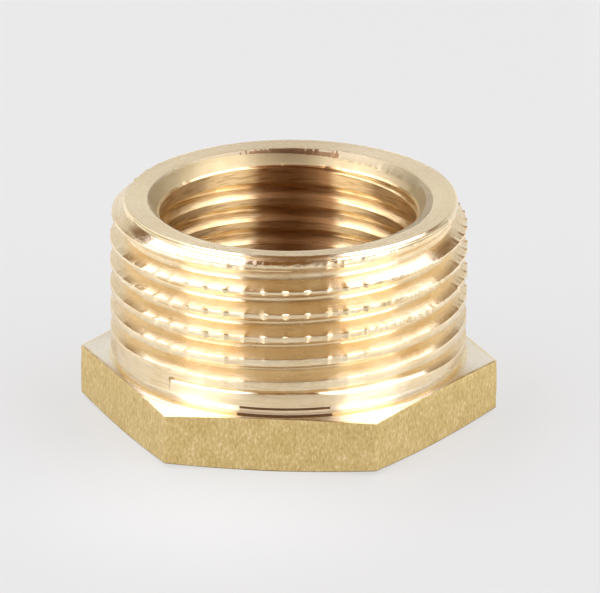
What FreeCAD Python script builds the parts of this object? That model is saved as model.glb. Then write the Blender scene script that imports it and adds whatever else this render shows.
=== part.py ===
import FreeCAD, Part
import math
import os
from FreeCAD import Vector

# Brass reducing bush with a spanner hexagon: male parallel pipe thread G 3/4
# outside, female parallel pipe thread G 1/2 right through. One turned piece.
# Millimetres and degrees, +Z up, origin on the axis in the plane of the
# hexagon's free face. The free end of the male thread is at the top.

AXIS = Vector(0, 0, 1)
ORIGIN = Vector(0, 0, 0)

total_height = 16.4

# spanner hexagon, two corners on the X axis, flats facing +Y and -Y
hex_across_flats = 27.0
hex_thickness = 4.25
hex_face_r = 13.35  # both faces are flat out to this radius
hex_top_corner_drop = 0.22  # the faces then fall away lightly to the corners
hex_end_corner_drop = 0.30

# undercut between the hexagon and the male thread
undercut_r = 12.5
undercut_height = 0.6
undercut_fillet = 0.16
fillet_mid_share = 0.29  # offset of the fillet's middle point, as a share of its radius

# both threads: 14 per inch, 55 degree form, flat crests
pitch = 1.814
flank_half_angle = 27.5
root_round = 0.13

# male thread, G 3/4
male_crest_r = 13.2205
male_root_r_at_neck = 12.25
male_root_taper = 1.1  # the root deepens slightly towards the free end
male_start_angle = -125.9
male_start_z = 5.552
male_turns = 7
washout_z = 5.95  # the groove begins on a 45 degree cone, at this height on the crest

# female thread, G 1/2
bore_r = 9.565  # the crest
female_root_r = 10.4775
female_start_angle = 95.9
female_groove_z = 0.691  # height of the groove at the start angle
female_turns = 10.2

# free end: lead chamfer outside, light chamfer and steep countersink inside
end_face_r = 12.35
lead_chamfer_per_mm = 0.625  # radius lost per mm of height
mouth_r = 10.45
mouth_step_r = 10.08
mouth_step_depth = 0.33
mouth_edge_r = 9.72
mouth_edge_depth = 1.05

# 45 degree countersink at the hexagon end
hex_mouth_r = 10.75

# seams of the quarter walls, turned clear of thin slivers
blank_seam_angle = 24.0
bore_seam_angle = 20.0

# how far blanks and cutters run past the finished surfaces
blank_base_z = 2.0  # inside the hexagon
blank_extra_height = 1.5
bore_bottom_z, bore_top_z = -1.0, 19.0
hex_trim_over, hex_trim_height = 0.6, 1.0
male_groove_over = 0.6
female_groove_over = 0.5
washout_inner_r = 8.0
washout_over = 1.5
washout_run = 2.2  # reach of the cone inside the crest
lead_over, end_cut_over = 0.5, 2.0
mouth_over = 1.0
end_cut_height = 3.0
hex_mouth_inner_over, hex_mouth_outer_over = 0.8, 0.7


def one_solid(shape):
    if len(shape.Solids) != 1:
        raise RuntimeError("expected one solid, found %d" % len(shape.Solids))
    return shape.Solids[0]


def closed_face(points):
    return Part.Face(Part.makePolygon(points + [points[0]]))


def revolve(outline, angle=360.0, turn=0.0):
    """Solid swept by a closed (radius, height) outline about the axis."""
    face = closed_face([Vector(r, 0, z) for r, z in outline])
    solid = face.revolve(ORIGIN, AXIS, angle)
    if turn:
        solid.rotate(ORIGIN, AXIS, turn)
    return solid


def quarters(outline, turn):
    """The full turn made from four quarters, so that its round walls are quarter faces."""
    parts = [revolve(outline, 90.0, turn + 90.0 * k) for k in range(4)]
    return one_solid(parts[0].multiFuse(parts[1:]))


def thread_groove(root_r, open_r, start_z, turns, taper, turn):
    """Helical V groove with a rounded root. open_r is where the V is widest."""
    half_angle = math.radians(flank_half_angle)
    side = 1.0 if open_r > root_r else -1.0
    centre_r = root_r + side * root_round
    tangent_r = centre_r - side * root_round * math.sin(half_angle)
    tangent_z = root_round * math.cos(half_angle)
    wide_z = tangent_z + abs(open_r - tangent_r) * math.tan(half_angle)

    low_open = Vector(open_r, 0, start_z - wide_z)
    low_tangent = Vector(tangent_r, 0, start_z - tangent_z)
    root = Vector(root_r, 0, start_z)
    high_tangent = Vector(tangent_r, 0, start_z + tangent_z)
    high_open = Vector(open_r, 0, start_z + wide_z)
    profile = Part.Wire(
        [
            Part.makeLine(low_open, low_tangent),
            Part.Arc(low_tangent, root, high_tangent).toShape(),
            Part.makeLine(high_tangent, high_open),
            Part.makeLine(high_open, low_open),
        ]
    )

    helix = Part.makeLongHelix(pitch, pitch * turns, root_r, taper)
    helix.translate(Vector(0, 0, start_z))
    sweep = Part.BRepOffsetAPI.MakePipeShell(Part.Wire(helix.Edges))
    sweep.setFrenetMode(True)
    sweep.add(profile)
    sweep.build()
    sweep.makeSolid()
    groove = sweep.shape()
    # the sweep may come out inside out
    if groove.Volume < 0:
        groove.reverse()
    groove.rotate(ORIGIN, AXIS, turn)
    return groove


def make_hexagon():
    corner_r = hex_across_flats / 2 / math.cos(math.radians(30))
    angles = [math.radians(60 * k) for k in range(6)]
    corners = [Vector(corner_r * math.cos(a), corner_r * math.sin(a), 0) for a in angles]
    prism = closed_face(corners).extrude(Vector(0, 0, hex_thickness))

    # cones through the corner drops, carried on past the corners
    fall = corner_r - hex_face_r
    trim_r = corner_r + hex_trim_over
    top_drop = hex_top_corner_drop * (fall + hex_trim_over) / fall
    end_drop = hex_end_corner_drop * (fall + hex_trim_over) / fall
    top_trim = revolve(
        [
            (hex_face_r, hex_thickness),
            (trim_r, hex_thickness - top_drop),
            (trim_r, hex_thickness + hex_trim_height),
            (hex_face_r, hex_thickness + hex_trim_height),
        ]
    )
    end_trim = revolve(
        [
            (hex_face_r, 0),
            (hex_face_r, -hex_trim_height),
            (trim_r, -hex_trim_height),
            (trim_r, end_drop),
        ]
    )
    return one_solid(prism.cut([top_trim, end_trim]))


def make_blank():
    """Undercut and male thread at crest size, left long at the free end."""
    foot_r = undercut_r + undercut_fillet
    fillet_mid = fillet_mid_share * undercut_fillet
    neck_z = hex_thickness + undercut_height
    top_z = total_height + blank_extra_height
    return quarters(
        [
            (0, blank_base_z),
            (foot_r, blank_base_z),
            (foot_r, hex_thickness),
            (undercut_r + fillet_mid, hex_thickness + fillet_mid),
            (undercut_r, hex_thickness + undercut_fillet),
            (undercut_r, neck_z),
            (male_crest_r, neck_z),
            (male_crest_r, top_z),
            (0, top_z),
        ],
        blank_seam_angle,
    )


def make_bore():
    return quarters(
        [(0, bore_bottom_z), (bore_r, bore_bottom_z), (bore_r, bore_top_z), (0, bore_top_z)],
        bore_seam_angle,
    )


def make_male_groove():
    groove = thread_groove(
        root_r=male_root_r_at_neck,
        open_r=male_crest_r + male_groove_over,
        start_z=male_start_z,
        turns=male_turns,
        taper=-male_root_taper,
        turn=male_start_angle,
    )
    outer_r = male_crest_r + washout_over
    washout = revolve(
        [
            (washout_inner_r, 0.0),
            (outer_r, 0.0),
            (outer_r, washout_z - washout_over),
            (male_crest_r - washout_run, washout_z + washout_run),
            (washout_inner_r, washout_z + washout_run),
        ]
    )
    return one_solid(groove.cut(washout))


def make_female_groove():
    """Starts one pitch low, to run out through the hexagon end."""
    return thread_groove(
        root_r=female_root_r,
        open_r=bore_r - female_groove_over,
        start_z=female_groove_z - pitch,
        turns=female_turns,
        taper=0.0,
        turn=female_start_angle,
    )


def make_end_cut():
    """Faces the free end, with its lead chamfer and mouth."""
    mouth_slope = (mouth_edge_depth - mouth_step_depth) / (mouth_step_r - mouth_edge_r)
    inner_r = mouth_edge_r - mouth_over
    lead_r = male_crest_r + lead_over
    lead_z = total_height - (lead_r - end_face_r) / lead_chamfer_per_mm
    outer_r = male_crest_r + end_cut_over
    return revolve(
        [
            (inner_r, total_height - mouth_edge_depth - mouth_over * mouth_slope),
            (mouth_step_r, total_height - mouth_step_depth),
            (mouth_r, total_height),
            (end_face_r, total_height),
            (lead_r, lead_z),
            (outer_r, lead_z),
            (outer_r, total_height + end_cut_height),
            (inner_r, total_height + end_cut_height),
        ]
    )


def make_hex_mouth():
    inner_r = bore_r - hex_mouth_inner_over
    return revolve(
        [
            (inner_r, hex_mouth_r - inner_r),
            (inner_r, -hex_mouth_outer_over),
            (hex_mouth_r + hex_mouth_outer_over, -hex_mouth_outer_over),
        ]
    )


bush = one_solid(make_hexagon().fuse(make_blank()))
# the threads are cut before the ends, so that the end cuts trim them
for make_cutter in (
    make_bore,
    make_male_groove,
    make_female_groove,
    make_end_cut,
    make_hex_mouth,
):
    bush = one_solid(bush.cut(make_cutter()))

os.makedirs("parts", exist_ok=True)
bush.exportStep("parts/reducing_bush.step")
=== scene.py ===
import math

import bpy
import numpy as np
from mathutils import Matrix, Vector


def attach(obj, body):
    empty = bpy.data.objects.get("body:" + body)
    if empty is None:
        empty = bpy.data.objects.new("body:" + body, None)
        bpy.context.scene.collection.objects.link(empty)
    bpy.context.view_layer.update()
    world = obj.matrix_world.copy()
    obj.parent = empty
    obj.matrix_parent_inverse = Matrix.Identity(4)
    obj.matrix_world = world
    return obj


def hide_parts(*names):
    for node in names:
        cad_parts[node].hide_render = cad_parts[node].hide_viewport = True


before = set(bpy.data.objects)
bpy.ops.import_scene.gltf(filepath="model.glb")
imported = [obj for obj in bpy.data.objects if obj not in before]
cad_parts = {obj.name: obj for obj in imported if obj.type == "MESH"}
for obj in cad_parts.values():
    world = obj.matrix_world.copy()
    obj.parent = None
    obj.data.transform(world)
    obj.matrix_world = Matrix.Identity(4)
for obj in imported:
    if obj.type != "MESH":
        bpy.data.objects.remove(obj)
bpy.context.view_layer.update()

# ---------------------------------------------------------------- sizes, mm and degrees
FRONT_DEG = -84.1                  # direction of the front, from +X
PER_MARK = 8                       # columns to each chatter mark
MARKS = 54                         # chatter marks a turn
COLUMNS = MARKS * PER_MARK
ANGLES = -1.0 + np.arange(COLUMNS + 1) * 360.0 / COLUMNS

PITCH = 1.814
FLANK = math.tan(math.radians(27.5))
MALE_R = 13.2205                   # outer crest radius
MALE_START_Z = 5.763               # groove height at the front, turn 0
FEMALE_R = 9.565                   # inner crest radius
FEMALE_START_Z = -0.216
FEMALE_DEPTH = 0.9125

HEX_FLATS = 27.0                   # across flats
HEX_FACE_R = 13.35                 # edge of the turned faces
HEX_TOP = 4.25
CORNER_RUN = 2.238                 # radial run over which the faces drop to the corners
CORNER_TOP_DROP = 0.22
CORNER_TOP_STEP = 0.125
CORNER_END_DROP = 0.30
NECK_Z = 4.86
THREAD_Z = NECK_Z + 0.10           # bottom of the outer thread surface
LEAD_Z = 15.36                     # top of the outer thread surface
END_Z = 16.4
END_R = 12.36
BORE_LOW_Z = 1.19
BORE_TOP_Z = 15.25

# material slots; the dark brown brass is used only for painted shade and painted dark reflections
(TURNED, THREAD, ROUGH, BORE, FACED, MOUTH,
 LIP, TOP, PAINTED_SHADE, DULL, WORN, NICK) = range(12)   # material slots


def wrap(degrees):
    """Angles brought into -180 to 180."""
    return (np.asarray(degrees) + 180.0) % 360.0 - 180.0


angle = ANGLES[:-1]
offset = wrap(angle)
even = np.radians(FRONT_DEG + angle)


def bell(x, centre, width):
    return np.exp(-((x - centre) / width) ** 2)


def spikes(x, width, table):
    """Sum of narrow bells; the table holds (centre, height)."""
    return sum(height * bell(x, centre, width) for centre, height in table)


def smooth_noise(rows, passes, seed):
    """Seeded noise over rows and columns, smoothed and scaled to unit spread."""
    field = np.random.default_rng(seed).standard_normal((rows, COLUMNS))
    for _ in range(passes):
        field = (np.roll(field, 1, 1) + 2 * field + np.roll(field, -1, 1)) / 4
        if rows > 2:
            field[1:-1] = (field[:-2] + 2 * field[1:-1] + field[2:]) / 4
    return field / max(1e-9, field.std())


# ---------------------------------------------------------------- mesh building
verts = []
faces = []
face_mats = []


def put(phi, r, z):
    """Add points given in polar form; returns their numbers."""
    start = len(verts)
    phi, r, z = np.broadcast_arrays(phi, r, z)
    for p, radius, height in zip(phi.ravel(), r.ravel(), z.ravel()):
        verts.append((radius * math.cos(p), radius * math.sin(p), height))
    return start + np.arange(phi.size)


def add_face(corners, material):
    """Add a face, merging repeated corners and skipping what collapses."""
    kept = []
    for corner in corners:
        if not kept or kept[-1] != corner:
            kept.append(int(corner))
    if kept[0] == kept[-1]:
        kept.pop()
    if len(set(kept)) == len(kept) and len(kept) >= 3:
        faces.append(kept)
        face_mats.append(material)


def join(first, second, material):
    """Quads between two rings, the second further along the section."""
    material = np.broadcast_to(material, COLUMNS)
    for j in range(COLUMNS):
        k = (j + 1) % COLUMNS
        add_face([first[j], first[k], second[k], second[j]], int(material[j]))


def join_rings(rings):
    """Join a list of (ring, material of the faces after it)."""
    for (first, material), (second, _) in zip(rings, rings[1:]):
        join(first, second, material)


# ---------------------------------------------------------------- thread profiles
MALE_POINTS, MALE_TURNS = 13, 9
FEMALE_POINTS, FEMALE_TURNS = 10, 12
FIRST_TURN = -2


def groove_z(start, degrees, turn):
    return start + PITCH * (degrees / 360.0 + turn)


def crest_radius(z):
    return float(min(MALE_R, END_R + 0.02 + 0.65 * (END_Z - z)))


def land_width(z):
    return float(np.clip(0.30 + (12.11 - z) * 0.06, 0.10, 0.70))


def groove_depth(z):
    return float(np.clip(1.10 - (11.0 - z) * 0.012, 0.95, 1.12))


# run-out of the lowest groove: helix angle, upper edge z, lower edge z, slope of the cone
RUN_OUT = np.array([
    (-41.8, 6.14, 5.74, 1.0), (-20.0, 6.19, 5.83, 1.0),
    (0.0, 6.27, 5.99, 1.0), (9.0, 6.30, 5.93, 1.0),
    (16.5, 6.35, 5.78, 1.0), (28.7, 6.43, 5.76, 1.05),
    (37.8, 6.49, 5.80, 1.15), (60.0, 6.61, 5.66, 1.4)])
BLEND_START, BLEND_END = 50.0, 110.0   # helix angles where the run-out becomes the full groove


def run_out_cell(helix_deg, centre, low_crest, low_r, high_r, full_depth):
    """The groove where it rises out of the body."""
    half = PITCH / 2 - land_width(centre) / 2
    blend = min(1.0, max(0.0, (helix_deg - BLEND_START) / (BLEND_END - BLEND_START)))
    high, low, slope = [
        float(np.interp(helix_deg, RUN_OUT[:, 0], RUN_OUT[:, column])) * (1 - blend) + full * blend
        for column, full in ((1, centre + half), (2, centre - half), (3, 1 / FLANK))]
    # where the run-out cone meets the upper flank
    depth = min((high - low) / (1 / slope + FLANK), full_depth)
    root_low, root_high = low + depth / slope, high - depth * FLANK
    root_r = MALE_R - depth
    soft = 0.03                        # rounding of the groove edges
    zs, rs = np.array([
        (low_crest, low_r),
        (low - soft, low_r),
        (low + soft * 0.4, low_r - 0.014),
        (low + (root_low - low) * 0.33, low_r - depth * 0.33),
        (low + (root_low - low) * 0.75, low_r - depth * 0.75),
        (root_low - 0.01, root_r + 0.01),
        ((root_low + root_high) / 2, root_r),
        (root_high + 0.01, root_r + 0.01),
        (root_high + (high - root_high) * 0.3, high_r - depth * 0.7),
        (root_high + (high - root_high) * 0.65, high_r - depth * 0.35),
        (high - soft * 0.5, high_r - 0.03),
        (high + soft * 0.2, high_r - 0.006),
        (high + soft * 1.2, high_r)]).T
    return np.maximum.accumulate(zs + np.arange(MALE_POINTS) * 1e-6), rs


def male_cell(degrees, turn):
    """Points (z, r) of one pitch of the outer thread, upwards from a crest middle."""
    helix_deg = degrees + 360.0 * turn
    centre = groove_z(MALE_START_Z, degrees, turn)
    low_crest, high_crest = centre - PITCH / 2, centre + PITCH / 2
    if helix_deg < RUN_OUT[0, 0]:
        zs = np.linspace(low_crest, high_crest, MALE_POINTS, endpoint=False)
        return zs, np.full(MALE_POINTS, MALE_R)
    low_r, high_r = crest_radius(low_crest), crest_radius(high_crest)
    depth = groove_depth(centre)
    if helix_deg < BLEND_END:
        return run_out_cell(helix_deg, centre, low_crest, low_r, high_r, depth)
    root_half = max(0.045, PITCH / 2 - land_width(centre) / 2 - depth * FLANK)
    root_r = MALE_R - depth
    low_depth, high_depth = low_r - root_r, high_r - root_r
    root_low, root_high = centre - root_half, centre + root_half
    low, high = root_low - low_depth * FLANK, root_high + high_depth * FLANK
    soft = 0.035
    return np.array([
        (low_crest, low_r),
        (low - soft, low_r),
        (low + soft * 0.30, low_r - 0.020),
        (low + soft * 1.15, low_r - soft * 1.15 / FLANK),
        (root_low - low_depth * FLANK * 0.5, root_r + low_depth * 0.5),
        (root_low - 0.05, root_r + 0.085),
        (centre - root_half * 0.45, root_r + 0.004),
        (centre + root_half * 0.45, root_r + 0.004),
        (root_high + 0.05, root_r + 0.085),
        (root_high + high_depth * FLANK * 0.5, root_r + high_depth * 0.5),
        (high - soft * 1.15, high_r - soft * 1.15 / FLANK),
        (high - soft * 0.30, high_r - 0.020),
        (high + soft, high_r)]).T


def female_cell(degrees, turn):
    """Points (z, r) of one pitch of the inner thread, which fades out near the top."""
    centre = groove_z(FEMALE_START_Z, degrees, turn)
    fade = min(1.0, max(0.0, (15.48 - centre) / 1.55))
    depth = FEMALE_DEPTH * fade
    root_half = 0.10 * fade
    half = root_half + depth * FLANK
    low_crest, high_crest = centre - PITCH / 2, centre + PITCH / 2
    if depth < 0.02:
        zs = np.linspace(low_crest, high_crest, FEMALE_POINTS, endpoint=False)
        return zs, np.full(FEMALE_POINTS, FEMALE_R)
    soft = 0.03 * fade
    rounded = 0.085 * fade             # the upper edge of each crest is rounder
    root_r = FEMALE_R + depth
    return np.array([
        (low_crest, FEMALE_R),
        (centre - half - rounded, FEMALE_R),
        (centre - half + rounded, FEMALE_R + min(depth, rounded / FLANK)),
        (centre - root_half - depth * FLANK * 0.45, FEMALE_R + depth * 0.55),
        (centre - root_half - 0.02 * fade, root_r - 0.045 * fade),
        (centre, root_r),
        (centre + root_half + 0.02 * fade, root_r - 0.045 * fade),
        (centre + root_half + depth * FLANK * 0.55, FEMALE_R + depth * 0.45),
        (centre + half - soft, FEMALE_R + min(depth, soft / FLANK)),
        (centre + half + soft, FEMALE_R)]).T


# ---------------------------------------------------------------- chatter marks
# Each mark is a small raised lip across an outer crest, with a hollow beside it.
MEAN_R = 13.2
MARK_PERIOD = 2 * math.pi * MEAN_R / MARKS
# distance of each of a mark's columns along the crest, placed and evenly spaced
MARK_SHIFT = np.array([0.0, 0.11, 0.23, 0.42, 0.768, 1.116, 1.306, 1.426])
EVEN_SHIFT = np.arange(PER_MARK) * 2 * math.pi * MEAN_R / COLUMNS
# crest height, strength of the marks
MARK_LEVEL = np.array([(4.3, 0.0), (6.67, 0.12), (8.48, 0.40), (10.30, 0.85),
                       (12.11, 1.15), (13.93, 1.0), (15.74, 0.45)])
# profile point, share of the mark it takes
MARK_WEIGHTS = {0: 1.0, 1: 0.95, 2: 0.75, 3: 0.20, 10: 0.20, 11: 0.75, 12: 0.95}
TABLE_ROWS = 12
mark_rng = np.random.default_rng(7)
mark_table = mark_rng.uniform(0.65, 1.25, (TABLE_ROWS, MARKS))
half_table = mark_rng.uniform(0.3, 1.1, (TABLE_ROWS, MARKS))
tick_table = mark_rng.uniform(0.15, 1.15, (TABLE_ROWS, COLUMNS))
nick_table = mark_rng.uniform(0.0, 1.0, (TABLE_ROWS, COLUMNS))


def has_ticks(column):
    """Right of the front the marks give way to close small ticks."""
    return 28.0 < offset[column] < 68.0


def mark_height(column, turn, crest_z):
    """Height of the mark at a column on the crest above a groove."""
    level = float(np.interp(crest_z, MARK_LEVEL[:, 0], MARK_LEVEL[:, 1]))
    degrees = float(offset[column])
    row = turn % TABLE_ROWS
    mark, step = divmod(column, PER_MARK)
    if has_ticks(column):              # two columns to each tick
        tick = tick_table[row, column]
        fade = min(1.0, (68.0 - degrees) / 12.0)
        return level * fade * (0.046 * tick if step % 2 == 0 else -0.046 * tick)
    place = MARK_SHIFT[step]
    height = 0.0
    for shift, index in ((0.0, mark), (-MARK_PERIOD, mark + 1)):
        size = mark_table[row, index % MARKS] * level
        size *= 0.25 + 0.75 * min(1.0, max(0.0, (degrees + 66.0) / 22.0))
        along = place + shift
        height += size * (0.082 * math.exp(-(along / 0.155) ** 2)
                          - 0.022 * math.exp(-((along - 0.36) / 0.14) ** 2))
    dense = math.exp(-((degrees - 50.0) / 30.0) ** 2)
    if dense > 0.05:                   # half-way marks crowd in beside the ticks
        along = place - MARK_PERIOD / 2
        size = half_table[row, mark] * level * dense
        height += size * 0.060 * math.exp(-(along / 0.16) ** 2)
    return height


def add_marks(grid):
    heights, radii, phis = grid
    for j in range(COLUMNS):
        step = j % PER_MARK
        shift = 0.0 if has_ticks(j) else (MARK_SHIFT[step] - EVEN_SHIFT[step]) / MEAN_R
        for cell in range(MALE_TURNS):
            turn = cell + FIRST_TURN
            centre = groove_z(MALE_START_Z, ANGLES[j], turn)
            for i, weight in MARK_WEIGHTS.items():
                row = cell * MALE_POINTS + i
                upper = i >= 10
                crest_z = centre + PITCH / 2 if upper else centre - PITCH / 2
                height = mark_height(j, turn if upper else turn - 1, crest_z)
                radii[j, row] += height * weight
                if i:
                    spread = max(height, 0.0) * (0.9 if weight > 0.5 else 0.3)
                    heights[j, row] += (-1.0 if upper else 1.0) * spread
                phis[j, row] += shift * min(1.0, weight + 0.3)


def is_nicked(heights, column, row):
    """Random nicks on the outer crests, right of the front."""
    return (row % MALE_POINTS in (12, 0) and 18.0 < ANGLES[column] < 66.0
            and 9.6 < heights[column, row] < 14.6
            and nick_table[(row + 2) // MALE_POINTS % TABLE_ROWS, column] > 0.52)


# ---------------------------------------------------------------- helical grids
def helix_grid(profile, turns, points, marks=False):
    """z, r and angle (radians) of every profile point of every column."""
    grid = np.zeros((3, COLUMNS + 1, turns * points))
    for j, degrees in enumerate(ANGLES):
        for cell in range(turns):
            rows = slice(cell * points, (cell + 1) * points)
            grid[0, j, rows], grid[1, j, rows] = profile(degrees, cell + FIRST_TURN)
        grid[2, j] = math.radians(FRONT_DEG + degrees)
    if marks:
        add_marks(grid)
    # the last column is the first one, a pitch higher
    grid[:, COLUMNS, :-points] = grid[:, 0, points:]
    grid[2, COLUMNS, :-points] += 2 * math.pi
    return grid


def profile_at(grid, z):
    """Radius of each column at height z."""
    return np.array([np.interp(z, grid[0, j], grid[1, j]) for j in range(COLUMNS)])


def thread_surface(grid, points, low_ring, high_ring, z_low, z_high, material, inside):
    """Faces of a helical grid, trimmed between two rings."""
    heights, radii, phis = grid
    rows = heights.shape[1]
    ids = np.zeros((COLUMNS + 1, rows), int)
    snap = 0.012
    for j in range(COLUMNS):
        below = heights[j] <= z_low + snap
        above = heights[j] >= z_high - snap
        middle = ~(below | above)
        ids[j][middle] = put(phis[j][middle], radii[j][middle], heights[j][middle])
        ids[j][below] = low_ring[j]
        ids[j][above] = high_ring[j]
    ids[COLUMNS, :-points] = ids[0, points:]
    ids[COLUMNS, -points:] = high_ring[0]
    for j in range(COLUMNS):
        a, b = ids[j], ids[j + 1]
        for i in range(rows - 1):
            corners = [a[i], b[i], b[i + 1], a[i + 1]]
            if inside:
                corners = [a[i + 1], b[i + 1], b[i], a[i]]
            nicked = not inside and is_nicked(heights, j, i)
            add_face(corners, NICK if nicked else material)


# ---------------------------------------------------------------- hexagon and neck
# degrees from a corner of the seven columns nearest to it
NEAR_CORNER = np.array([-0.95, -0.45, -0.20, 0.0, 0.20, 0.45, 0.95])


def hexagon_shift():
    """Turn of each column, in radians, that gathers them at the corners."""
    start = (FRONT_DEG + angle) % 360.0
    order = np.argsort(start)
    corners = [int(np.argmin(np.abs(wrap(start[order] - c)))) for c in range(0, 360, 60)]
    moved = np.zeros(COLUMNS)
    for side, corner in enumerate(corners):
        span = (corners[(side + 1) % 6] - corner) % COLUMNS
        this, following = 60.0 * side, 60.0 * (side + 1)
        low, high = this + NEAR_CORNER[-1], following + NEAR_CORNER[0]
        for s in range(span):
            if s <= 3:
                degrees = this + NEAR_CORNER[3 + s]
            elif span - s <= 3:
                degrees = following + NEAR_CORNER[3 - (span - s)]
            else:
                degrees = low + (high - low) * ((s - 3) / (span - 6))
            moved[(corner + s) % COLUMNS] = degrees
    target = np.zeros(COLUMNS)
    target[order] = moved
    return np.radians(wrap(target - start))


def hexagon_radius(phi):
    """Radius of the hexagon's sides, with slightly blunted corners."""
    from_corner = np.abs((np.degrees(phi) + 30.0) % 60.0 - 30.0)
    r = HEX_FLATS / 2 / np.cos(np.radians(30.0 - from_corner))
    nearness = 1 - np.clip(from_corner / 0.45, 0, 1)
    return np.where(from_corner < 0.45, r - 0.031 * nearness ** 2, r)


def hexagon_rings(inner):
    """Rings from the lower end of the bore, round the hexagon and up the neck."""
    rings = []

    def ring(phi, r, z, material):
        rings.append((put(phi, r, z), material))

    shift = hexagon_shift()
    hex_phi = even + shift
    hex_r = hexagon_radius(hex_phi)
    overhang = hex_r - HEX_FACE_R
    face_edge = HEX_TOP - CORNER_TOP_STEP
    top_edge = face_edge - overhang * (CORNER_TOP_DROP - CORNER_TOP_STEP) / CORNER_RUN
    end_edge = overhang * CORNER_END_DROP / CORNER_RUN

    # countersink, flat ring and sloping corners of the bottom face
    for z in (0.90, 0.60, 0.35, 0.15):
        ring(even, np.maximum(10.75 - z, profile_at(inner, z)), z, TURNED)
    ring(even, 10.76, 0.012, TURNED)
    for r in (10.85, 11.5, 12.3, 13.0, 13.33):
        ring(even, r, 0.0, TURNED)
    for turn, out in ((0.4, 0.25), (0.8, 0.70)):
        ring(even + shift * turn, HEX_FACE_R + overhang * out, end_edge * out, TURNED)
    ring(hex_phi, hex_r - 0.085, end_edge - 0.006, TURNED)
    # painted shade: a thin dark brown line along the lower edge of the sides, where the part meets
    # the floor
    ring(hex_phi, hex_r - 0.035, end_edge + 0.014, PAINTED_SHADE)

    # rough sides
    side_rows = 12
    grain = smooth_noise(side_rows, 1, 11) * 0.011 + smooth_noise(side_rows, 5, 12) * 0.008
    low, high = end_edge + 0.06, top_edge - 0.055
    for i in range(side_rows):
        strength = 0.35 if i in (0, side_rows - 1) else 1.0
        ring(hex_phi, hex_r - 0.016 + np.clip(grain[i], -0.035, 0.015) * strength,
             low + (high - low) * (i / (side_rows - 1)), ROUGH)
    wobble = smooth_noise(1, 2, 13)[0]
    ring(hex_phi, hex_r - 0.030, top_edge - 0.012 + wobble * 0.006, TURNED)
    ring(hex_phi, hex_r - 0.085 + wobble * 0.01, top_edge + 0.006, TURNED)

    # top face: a light slope in from the corners
    slope_top = HEX_TOP - 0.115
    ring(even + shift * 0.9, hex_r - 0.30, top_edge + 0.014, TOP)
    ring(even + shift * 0.6, 13.36 + (hex_r - 13.36) * 0.40,
         slope_top - (slope_top - top_edge) * 0.40, TOP)
    ring(even + shift * 0.2, 13.33, HEX_TOP - 0.112, FACED)

    # a steeper band, a flat ring and the neck; at the front the band and the wall under the neck
    # are painted shade, and the flat ring is dulled
    at_front = np.abs(offset + 1.8) < 15.2
    band = np.where(at_front, PAINTED_SHADE, FACED)
    foot = np.where(at_front, DULL, TOP)
    wall = np.where(at_front, PAINTED_SHADE, TOP)
    for r, z, material in (             # radius, height, material above
            (13.28, HEX_TOP - 0.098, band), (13.00, HEX_TOP - 0.012, band),
            (12.95, HEX_TOP, foot), (12.64, HEX_TOP + 0.002, foot),
            (12.56, HEX_TOP + 0.030, foot), (12.515, HEX_TOP + 0.085, foot),
            (12.505, HEX_TOP + 0.165, wall), (12.50, HEX_TOP + 0.34, wall),
            (12.515, NECK_Z - 0.15, TOP), (12.60, NECK_Z - 0.035, TURNED),
            (12.80, NECK_Z - 0.004, TURNED), (13.10, NECK_Z, TURNED),
            (13.185, NECK_Z + 0.012, TURNED), (13.214, NECK_Z + 0.045, TURNED),
            (MALE_R, THREAD_Z, None)):
        ring(even, r, z, material)
    return rings


# ---------------------------------------------------------------- free end
def rim_rings(outer):
    """Rings of the shortened first crest and the chamfer; also returns the rim's outer radius."""
    rings = []
    # a thin torn edge on the left, a little towards the back
    tear = smooth_noise(2, 0, 31) * bell(offset, -112.0, 14.0)
    nibs = spikes(offset, 0.9, ((-118.0, 0.10), (-109.5, 0.13), (-99.0, 0.06), (-126.0, 0.05)))
    # a shallow worn line with small burrs, strongest at the front
    worn = bell(offset, 0.0, 75.0)
    burrs = np.clip(smooth_noise(3, 0, 71), -0.6, 2.2)
    from_front = np.abs(offset + 1.0)
    at_front = from_front < 14.2
    beside_front = (from_front > 14.2) & (from_front < 70.0)
    # height, depth of the worn line, size of the burrs
    for z, dip, burr in ((15.43, 0.0, 0.0), (15.50, 0.010, 0.006), (15.54, 0.095, 0.012),
                         (15.63, 0.120, 0.012), (15.68, 0.020, 0.014), (15.79, 0.0, 0.018),
                         (15.92, 0.02, 0.028), (16.02, 0.05, 0.028)):
        own = profile_at(outer, z)
        on_crest = np.clip((own - 12.35) / 0.25, 0, 1)
        r = own - (dip - burr * burrs[int(z * 100) % 3]) * worn * on_crest
        material = np.where(beside_front, MOUTH, THREAD) if z > 16.0 else THREAD
        rings.append((put(even, r, z), material))
    # height, chamfer radius
    for z, chamfer_r in ((16.10, 12.720), (16.19, 12.616), (16.28, 12.512), (16.36, 12.420)):
        r = np.minimum(profile_at(outer, z), chamfer_r) + tear[0] * 0.022 + nibs * 0.5
        material = TURNED
        if z < 16.25:
            r = r + np.minimum(0.020 * burrs[int(z * 100) % 3] * worn, 0.0)
            beside = np.where(beside_front & (z > 16.15), MOUTH, TURNED)
            material = np.where(at_front, WORN, beside)
        rings.append((put(even, r, z), material))
    edge_r = np.minimum(profile_at(outer, END_Z), 12.375) + tear[1] * 0.030 + nibs
    rings.append((put(even, edge_r, END_Z - 0.006), TURNED))
    return rings, edge_r


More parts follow.
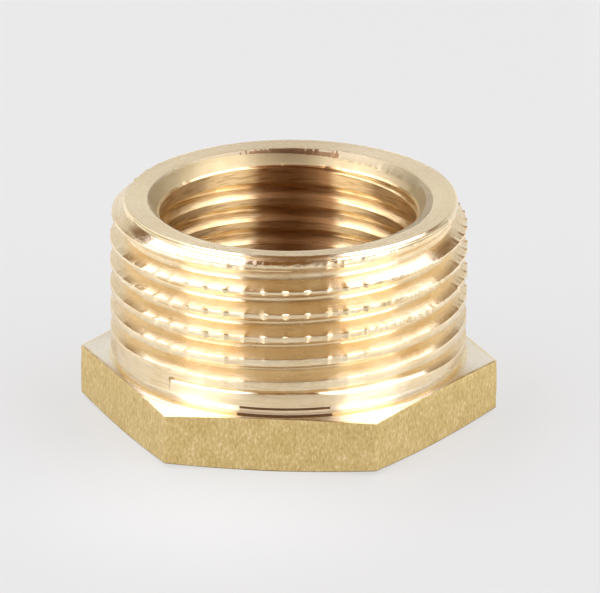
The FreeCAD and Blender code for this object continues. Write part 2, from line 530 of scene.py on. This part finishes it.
def mouth_rings(inner, edge_r):
    """Rings of the flat end face, the stepped mouth and the turned wall down to the bore."""
    rings = []
    # inner radius of the flat face, by degrees from 64 left of the front; least at the back
    flat_r = np.interp(np.mod(angle + 64.0, 360.0),
                       [0, 28, 64, 124, 149, 174, 244, 314, 360],
                       [10.50, 10.80, 11.08, 11.03, 10.75, 10.50, 10.45, 10.42, 10.50])
    lip_r = flat_r + 0.010 * smooth_noise(1, 1, 41)[0]
    ripple = np.random.default_rng(43)
    for t in (0.03, 0.12, 0.30, 0.50, 0.70, 0.88, 0.97):
        dz = 0.0 if t < 0.05 else ripple.uniform(-0.007, 0.0)
        rings.append((put(even, edge_r + (lip_r - edge_r) * t, END_Z + dz), FACED))

    # the step under the lip follows a helix from the right round to the back
    helix_z = 16.07 + PITCH * (angle - 180.0) / 360.0
    on_helix = np.clip((angle - 104.0) / 10.0, 0, 1)
    plain_z = 16.27 - 0.29 * np.clip((flat_r - 10.45) / 0.45, 0, 1)
    step_z = np.where(angle > 218.0, plain_z, plain_z * (1 - on_helix) + helix_z * on_helix)
    step_z = np.minimum(step_z, plain_z)
    step_r = np.maximum(10.45 - (END_Z - step_z) * 0.70 - 0.06, 10.06)

    # chatter on the step, and a painted dark reflection: a brown line at the back of the lip and
    # its edge
    strength = bell(angle, 140.0, 17.0) + 0.35 * bell(angle, 172.0, 26.0)
    chatter = smooth_noise(3, 0, 51)
    rough = np.clip(chatter[:2], -1.6, 1.6)
    ragged = 2.2 * chatter[2]
    wide, narrow = angle + ragged, angle + 2.0 * ragged
    lip_material = np.where((wide > 157) & (wide < 199), PAINTED_SHADE, LIP)
    edge_material = np.where((narrow > 166) & (narrow < 190), PAINTED_SHADE, LIP)
    rings.append((put(even, lip_r - 0.010, END_Z - 0.010), edge_material))
    rings.append((put(even, lip_r * 0.6 + step_r * 0.4 + chatter[2] * 0.006 * strength,
                      END_Z * 0.66 + step_z * 0.34), lip_material))
    rings.append((put(even, step_r + rough[0] * 0.022 * strength,
                      step_z + rough[1] * 0.020 * strength), MOUTH))

    # turned wall, then the burred upper edge of the bore
    wall_z, wall_r = 15.37, 9.735
    for t in (0.08, 0.35, 0.65, 0.92):
        r = step_r + (wall_r - step_r) * (0.10 * t + 0.90 * t ** 1.15)
        rings.append((put(even, r, step_z + (wall_z - step_z) * t), MOUTH))
    lips = spikes(angle, 0.8, ((183.4, 0.09), (163.0, 0.10), (156.5, 0.06),
                               (203.0, 0.05), (196.0, 0.04), (232.0, 0.04)))
    rings.append((put(even, 9.72 - lips * 0.6, 15.355 + lips * 0.5), BORE))
    rings.append((put(even, np.maximum(9.63, profile_at(inner, 15.30)) - lips,
                      15.30 + smooth_noise(2, 0, 61)[0] * 0.008), BORE))
    rings.append((put(even, profile_at(inner, BORE_TOP_Z), BORE_TOP_Z), None))
    return rings


# ---------------------------------------------------------------- body
def build_body():
    outer = helix_grid(male_cell, MALE_TURNS, MALE_POINTS, marks=True)
    inner = helix_grid(female_cell, FEMALE_TURNS, FEMALE_POINTS)

    base = hexagon_rings(inner)
    lead_ring = put(even, profile_at(outer, LEAD_Z), LEAD_Z)
    thread_surface(outer, MALE_POINTS, base[-1][0], lead_ring, THREAD_Z, LEAD_Z,
                   THREAD, inside=False)
    join_rings(base)

    rim, edge_r = rim_rings(outer)
    end = [(lead_ring, THREAD)] + rim + mouth_rings(inner, edge_r)
    join_rings(end)

    bore_low = put(even, profile_at(inner, BORE_LOW_Z), BORE_LOW_Z)
    thread_surface(inner, FEMALE_POINTS, bore_low, end[-1][0], BORE_LOW_Z, BORE_TOP_Z,
                   BORE, inside=True)
    join(bore_low, base[0][0], TURNED)

    mesh = bpy.data.meshes.new("brass_body")
    mesh.from_pydata((np.array(verts) * 0.001).tolist(), [], faces)
    mesh.update()
    body = bpy.data.objects.new("brass_body", mesh)
    bpy.context.scene.collection.objects.link(body)
    mesh.polygons.foreach_set("material_index", np.array(face_mats, np.int32))
    mesh.validate()
    mesh.shade_smooth()
    mesh.set_sharp_from_angle(angle=math.radians(24))
    return body


body = build_body()
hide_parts("reducing_bush")
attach(body, "root")


# ---------------------------------------------------------------- shader helpers
def feed(tree, socket, value):
    """Link a socket into another, or set it to a number or an RGB colour."""
    if isinstance(value, bpy.types.NodeSocket):
        tree.links.new(value, socket)
    else:
        socket.default_value = (*value, 1) if isinstance(value, tuple) else value


def math_node(tree, operation, *values):
    node = tree.nodes.new("ShaderNodeMath")
    node.operation = operation
    for socket, value in zip(node.inputs, values):
        feed(tree, socket, value)
    return node.outputs[0]


def combine(tree, *values):
    node = tree.nodes.new("ShaderNodeCombineXYZ")
    for socket, value in zip(node.inputs, values):
        feed(tree, socket, value)
    return node.outputs[0]


def noise(tree, vector, scale, detail, roughness=0.5):
    node = tree.nodes.new("ShaderNodeTexNoise")
    feed(tree, node.inputs["Vector"], vector)
    feed(tree, node.inputs["Scale"], scale)
    feed(tree, node.inputs["Detail"], detail)
    feed(tree, node.inputs["Roughness"], roughness)
    return node.outputs["Fac"]


def ramp(tree, factor, stops):
    """Colour ramp through (position, RGB) stops."""
    node = tree.nodes.new("ShaderNodeValToRGB")
    feed(tree, node.inputs[0], factor)
    elements = node.color_ramp.elements
    elements.remove(elements[-1])
    for i, (position, color) in enumerate(stops):
        element = elements[0] if i == 0 else elements.new(position)
        element.position = position
        element.color = (*color, 1)
    return node.outputs[0]


def mix(tree, factor, first, second, blend="MULTIPLY"):
    node = tree.nodes.new("ShaderNodeMix")
    node.data_type = "RGBA"
    node.blend_type = blend
    for index, value in ((0, factor), (6, first), (7, second)):
        feed(tree, node.inputs[index], value)
    return node.outputs[2]


def remap(tree, value, source, target=(0.0, 1.0), smooth=True):
    node = tree.nodes.new("ShaderNodeMapRange")
    if smooth:
        node.interpolation_type = "SMOOTHSTEP"
    node.inputs["From Min"].default_value, node.inputs["From Max"].default_value = source
    node.inputs["To Min"].default_value, node.inputs["To Max"].default_value = target
    feed(tree, node.inputs["Value"], value)
    return node.outputs["Result"]


def weighted_sum(tree, first, first_weight, second, second_weight):
    return math_node(tree, "ADD", math_node(tree, "MULTIPLY", first, first_weight),
                     math_node(tree, "MULTIPLY", second, second_weight))


def bump(tree, bsdf, height, strength, distance):
    node = tree.nodes.new("ShaderNodeBump")
    node.inputs["Strength"].default_value = strength
    node.inputs["Distance"].default_value = distance
    feed(tree, node.inputs["Height"], height)
    feed(tree, bsdf.inputs["Normal"], node.outputs[0])


def empty_material(name):
    material = bpy.data.materials.new(name)
    material.use_nodes = True
    material.node_tree.nodes.clear()
    return material, material.node_tree


def metal(name):
    material, tree = empty_material(name)
    output = tree.nodes.new("ShaderNodeOutputMaterial")
    bsdf = tree.nodes.new("ShaderNodeBsdfPrincipled")
    feed(tree, output.inputs["Surface"], bsdf.outputs["BSDF"])
    bsdf.inputs["Metallic"].default_value = 1.0
    return material, tree, bsdf


def object_mm(tree):
    """Object coordinates x, y, z in millimetres."""
    coords = tree.nodes.new("ShaderNodeTexCoord")
    split = tree.nodes.new("ShaderNodeSeparateXYZ")
    feed(tree, split.inputs[0], coords.outputs["Object"])
    return [math_node(tree, "MULTIPLY", axis, 1000.0) for axis in split.outputs]


# ---------------------------------------------------------------- brass
def painted_reflection_mask(tree, x, y, along):
    """One on an upright band up the back half, with wavering edges, where a dark reflection is
    painted.
    """
    turn = math.radians(FRONT_DEG + 90.0)
    across = weighted_sum(tree, x, math.cos(turn), y, math.sin(turn))
    behind = weighted_sum(tree, x, -math.sin(turn), y, math.cos(turn))
    waver = math_node(tree, "SUBTRACT", noise(tree, along, scale=2.0, detail=2.0), 0.5)
    waver = math_node(tree, "MULTIPLY", waver, 1.2)
    centred = math_node(tree, "SUBTRACT", across, 0.55)
    distance = math_node(tree, "ABSOLUTE", math_node(tree, "ADD", centred, waver))
    band = remap(tree, distance, source=(3.6, 2.4))
    return math_node(tree, "MULTIPLY", band, math_node(tree, "GREATER_THAN", behind, 0.0))


def turned_brass(name, roughness, anisotropic, streak, bump_strength, base, deep,
                 lines=0.0, lands=0.0, patch=None):
    """Lathe-turned brass: fine rings round the axis, a sheen stretched along it."""
    material, tree, bsdf = metal(name)
    x, y, z = object_mm(tree)
    r = math_node(tree, "SQRT", weighted_sum_of_squares(tree, x, y))
    # changes fast with height and radius, slowly round the axis
    along = combine(tree, math_node(tree, "MULTIPLY", x, 0.10),
                    math_node(tree, "MULTIPLY", y, 0.10), weighted_sum(tree, z, 1.0, r, 1.37))
    fine = noise(tree, along, scale=16.0, detail=3.0, roughness=0.65)
    wide = noise(tree, along, scale=3.2, detail=2.0)
    blots = noise(tree, combine(tree, x, y, z), scale=0.35, detail=3.0, roughness=0.55)
    color = mix(tree, ramp(tree, blots, [(0.35, (0, 0, 0)), (0.70, (1, 1, 1))]),
                base, deep, blend="MIX")
    color = mix(tree, streak, color,
                ramp(tree, fine, [(0.30, (0.70, 0.62, 0.50)), (0.62, (1, 1, 1))]))
    if lines:                          # thin dark tool lines
        tool = noise(tree, along, scale=5.5, detail=1.0)
        color = mix(tree, lines, color,
                    ramp(tree, tool, [(0.36, (0.45, 0.33, 0.22)), (0.47, (0.95, 0.92, 0.88)),
                                      (0.62, (1, 1, 1))]))
    if lands:                          # painted shade: the crests inside the bore are coloured darker than the grooves
        depth = remap(tree, r, source=(9.58, 9.85), smooth=False)
        color = mix(tree, lands, color,
                    ramp(tree, depth, [(0.0, (0.43, 0.34, 0.23)), (1.0, (1, 1, 1))]))
    if patch:                          # a painted dark reflection: a brown band on the back wall
        mask = painted_reflection_mask(tree, x, y, along)
        color = mix(tree, mask, color, patch)
    feed(tree, bsdf.inputs["Base Color"], color)
    rough = math_node(tree, "ADD", math_node(tree, "MULTIPLY", wide, 0.16), roughness - 0.08)
    if patch:                          # the painted band is duller too
        rough = math_node(tree, "ADD", rough, math_node(tree, "MULTIPLY", mask, 0.26))
    feed(tree, bsdf.inputs["Roughness"], rough)
    bsdf.inputs["Anisotropic"].default_value = anisotropic
    bsdf.inputs["Anisotropic Rotation"].default_value = 0.25
    tangent = tree.nodes.new("ShaderNodeTangent")
    tangent.direction_type = "RADIAL"
    tangent.axis = "Z"
    feed(tree, bsdf.inputs["Tangent"], tangent.outputs[0])
    bump(tree, bsdf, fine, strength=bump_strength, distance=0.00002)
    return material


def weighted_sum_of_squares(tree, x, y):
    return weighted_sum(tree, x, x, y, y)


def rough_brass(name):
    """The hexagon's sides: a fine sandy grain with short upright streaks."""
    material, tree, bsdf = metal(name)
    x, y, z = object_mm(tree)
    grain = noise(tree, combine(tree, x, y, math_node(tree, "MULTIPLY", z, 0.55)),
                  scale=5.2, detail=3.0, roughness=0.62)
    streaks = noise(tree, combine(tree, x, y, math_node(tree, "MULTIPLY", z, 0.25)),
                    scale=9.0, detail=2.0, roughness=0.6)
    blots = noise(tree, combine(tree, x, y, z), scale=0.8, detail=3.0, roughness=0.6)
    mixed = weighted_sum(tree, grain, 0.65, streaks, 0.35)
    blots = math_node(tree, "MULTIPLY", math_node(tree, "SUBTRACT", blots, 0.5), 0.25)
    mixed = math_node(tree, "ADD", mixed, blots)
    color = ramp(tree, mixed, [(0.33, (0.53, 0.375, 0.14)), (0.46, (0.645, 0.48, 0.20)),
                               (0.56, (0.715, 0.55, 0.25)), (0.68, (0.85, 0.71, 0.43))])
    feed(tree, bsdf.inputs["Base Color"], color)
    rough = math_node(tree, "ADD", math_node(tree, "MULTIPLY", grain, -0.25), 0.66)
    feed(tree, bsdf.inputs["Roughness"], rough)
    bump(tree, bsdf, mixed, strength=0.45, distance=0.00005)
    return material


# in slot order: name, roughness, anisotropy, streak strength, bump strength,
# base colour, colour of the deeper blots, extras
BRASSES = (
    ("turned", 0.26, 1.0, 0.20, 0.20, (0.955, 0.835, 0.590), (0.930, 0.785, 0.520), {}),
    ("thread", 0.25, 0.98, 0.25, 0.30, (0.930, 0.788, 0.550), (0.885, 0.690, 0.415),
     {"lines": 0.10}),
    ("rough",),
    # bore: a dark reflection is painted as a brown band on the back wall
    ("bore", 0.34, 0.98, 0.42, 0.70, (1.000, 0.810, 0.455), (0.960, 0.710, 0.350),
     {"lines": 0.48, "lands": 0.25, "patch": (0.66, 0.47, 0.37)}),
    ("faced", 0.25, 0.70, 0.34, 0.45, (1.000, 0.870, 0.600), (0.975, 0.825, 0.540), {}),
    ("mouth", 0.50, 0.40, 0.30, 0.50, (0.490, 0.395, 0.225), (0.425, 0.330, 0.175), {}),
    ("lip", 0.55, 0.20, 0.25, 0.50, (0.420, 0.345, 0.215), (0.360, 0.290, 0.165), {}),
    ("top", 0.28, 0.97, 0.12, 0.20, (0.975, 0.905, 0.790), (0.960, 0.880, 0.730), {}),
    # painted shade: a dark brown brass for painted shade and painted dark reflections
    ("painted_shade", 0.45, 0.60, 0.60, 0.60, (0.250, 0.150, 0.075), (0.190, 0.105, 0.050), {}),
    ("dull", 0.75, 0.0, 0.15, 0.40, (0.930, 0.850, 0.690), (0.900, 0.810, 0.640), {}),
    ("worn", 0.36, 0.94, 0.50, 0.90, (0.760, 0.560, 0.310), (0.640, 0.440, 0.210),
     {"lines": 0.50}),
    ("nick", 0.36, 0.80, 0.30, 0.40, (0.820, 0.670, 0.420), (0.760, 0.600, 0.340), {}),
)
for label, *values in BRASSES:
    if values:
        *looks, extras = values
        brass = turned_brass("brass_" + label, *looks, **extras)
    else:
        brass = rough_brass("brass_" + label)
    body.data.materials.append(brass)

# ---------------------------------------------------------------- stage, metres
CAMERA_AZ, CAMERA_EL, CAMERA_DIST = math.radians(5.7), math.radians(21.31), 0.700
right = Vector((math.cos(CAMERA_AZ), math.sin(CAMERA_AZ), 0))
toward = Vector((math.sin(CAMERA_AZ), -math.cos(CAMERA_AZ), 0))    # to the camera


def quad(name, corners, material):
    mesh = bpy.data.meshes.new(name)
    mesh.from_pydata([tuple(corner) for corner in corners], [], [(0, 1, 2, 3)])
    mesh.materials.append(material)
    item = bpy.data.objects.new(name, mesh)
    bpy.context.scene.collection.objects.link(item)


def floor_paper():
    """Glowing paper: dark under the part as a painted shadow, with painted light brighter to both
    sides.
    """
    material = bpy.data.materials.new("floor_paper")
    material.use_nodes = True
    tree = material.node_tree
    bsdf = tree.nodes["Principled BSDF"]
    bsdf.inputs["Base Color"].default_value = (0.085, 0.082, 0.078, 1)
    bsdf.inputs["Roughness"].default_value = 0.70
    bsdf.inputs["Emission Color"].default_value = (1.0, 0.995, 0.965, 1)
    position = tree.nodes.new("ShaderNodeTexCoord").outputs["Object"]
    length = tree.nodes.new("ShaderNodeVectorMath")
    length.operation = "LENGTH"
    feed(tree, length.inputs[0], position)
    # painted shadow: no glow under the part, rising round its edge
    around = remap(tree, length.outputs["Value"], source=(0.0095, 0.0135), target=(0.0, 0.595))
    split = tree.nodes.new("ShaderNodeSeparateXYZ")
    feed(tree, split.inputs[0], position)
    # painted light: more glow to both sides
    sideways = math_node(tree, "ABSOLUTE",
                         weighted_sum(tree, split.outputs[0], math.cos(CAMERA_AZ),
                                      split.outputs[1], math.sin(CAMERA_AZ)))
    sides = remap(tree, sideways, source=(0.022, 0.055), target=(0.0, 0.44))
    # a faint painted pool of light just in front
    distance = tree.nodes.new("ShaderNodeVectorMath")
    distance.operation = "DISTANCE"
    feed(tree, distance.inputs[0], position)
    distance.inputs[1].default_value = tuple(toward * 0.020 - right * 0.006)
    pool = remap(tree, distance.outputs["Value"], source=(0.0, 0.020), target=(0.07, 0.0))
    glow = math_node(tree, "ADD", math_node(tree, "ADD", around, sides), pool)
    feed(tree, bsdf.inputs["Emission Strength"], glow)
    return material


def panel(name, corners, strength, color):
    material, tree = empty_material(name)
    emission = tree.nodes.new("ShaderNodeEmission")
    feed(tree, emission.inputs["Color"], color)
    feed(tree, emission.inputs["Strength"], strength)
    output = tree.nodes.new("ShaderNodeOutputMaterial")
    feed(tree, output.inputs["Surface"], emission.outputs[0])
    quad(name, corners, material)


def place(x, y_back, z):
    """A point from distances right, away from the camera, and up."""
    return right * x - toward * y_back + Vector((0, 0, z))


def sky(azimuth, elevation, distance):
    """A point from degrees right of the camera side and degrees up."""
    a, e = math.radians(azimuth), math.radians(elevation)
    return (right * (distance * math.sin(a) * math.cos(e))
            + toward * (distance * math.cos(a) * math.cos(e))
            + Vector((0, 0, distance * math.sin(e))))


def sky_panel(name, azimuths, elevations, distance, strength, color):
    (a0, a1), (e0, e1) = azimuths, elevations
    corners = [sky(a, e, distance) for a, e in ((a0, e0), (a0, e1), (a1, e1), (a1, e0))]
    panel(name, corners, strength, color)


quad("floor", [(-3, -3, 0), (3, -3, 0), (3, 3, 0), (-3, 3, 0)], floor_paper())

SOFTBOX_Z = 0.60                       # the overhead softboxes scale with their height
for side, label, back in ((1, "right", 0.75), (-1, "left", 0.90)):
    outline = ((0.38, -0.62), (0.16, back), (1.15, back), (1.15, -0.62))
    panel("softbox_" + label,
          [place(side * x * SOFTBOX_Z, y * SOFTBOX_Z, SOFTBOX_Z) for x, y in outline],
          strength=5.0, color=(0.94, 0.98, 1.20))

# a dim brown upright panel behind the camera
panel("far_wall", [place(x, -1.5, z) for x, z in
                   ((-0.95, 0.16), (0.95, 0.16), (0.95, 1.20), (-0.95, 1.20))],
      strength=1.0, color=(0.17, 0.090, 0.035))

# bright fills on the camera side, dim brown flags at the back
for side, label in ((1, "right"), (-1, "left")):
    sky_panel("fill_" + label, azimuths=(side * 36, side * 78), elevations=(9, 42),
              distance=1.2, strength=4.2, color=(0.98, 0.99, 1.08))
    sky_panel("flag_" + label, azimuths=(side * 122, side * 163), elevations=(26, 40),
              distance=1.3, strength=1.0, color=(0.20, 0.10, 0.03))


def build_world():
    """Pale near and below the horizon, brown overhead."""
    world = bpy.data.worlds.new("studio")
    bpy.context.scene.world = world
    world.use_nodes = True
    tree = world.node_tree
    tree.nodes.clear()
    output = tree.nodes.new("ShaderNodeOutputWorld")
    background = tree.nodes.new("ShaderNodeBackground")
    coords = tree.nodes.new("ShaderNodeTexCoord")
    split = tree.nodes.new("ShaderNodeSeparateXYZ")
    feed(tree, split.inputs[0], coords.outputs["Generated"])
    color = ramp(tree, split.outputs[2],
                 [(0.0, (0.86, 0.86, 0.85)), (0.38, (0.82, 0.82, 0.81)),
                  (0.56, (0.25, 0.120, 0.028)), (1.0, (0.21, 0.095, 0.020))])
    feed(tree, background.inputs["Color"], color)
    background.inputs["Strength"].default_value = 1.0
    feed(tree, output.inputs["Surface"], background.outputs[0])


def build_camera():
    lens = bpy.data.cameras.new("camera")
    camera = bpy.data.objects.new("camera", lens)
    bpy.context.scene.collection.objects.link(camera)
    aim = right * 0.000860 + Vector((0, 0, 0.008521))
    eye_dir = toward * math.cos(CAMERA_EL) + Vector((0, 0, math.sin(CAMERA_EL)))
    camera.location = aim + eye_dir * CAMERA_DIST
    camera.rotation_mode = "QUATERNION"
    camera.rotation_quaternion = (-eye_dir).to_track_quat("-Z", "Y")
    lens.sensor_width = 36.0
    lens.sensor_fit = "HORIZONTAL"
    lens.lens = 565.5
    lens.clip_start = 0.01
    lens.clip_end = 50.0
    bpy.context.scene.camera = camera


build_world()
build_camera()
bpy.context.scene.view_settings.view_transform = "Standard"
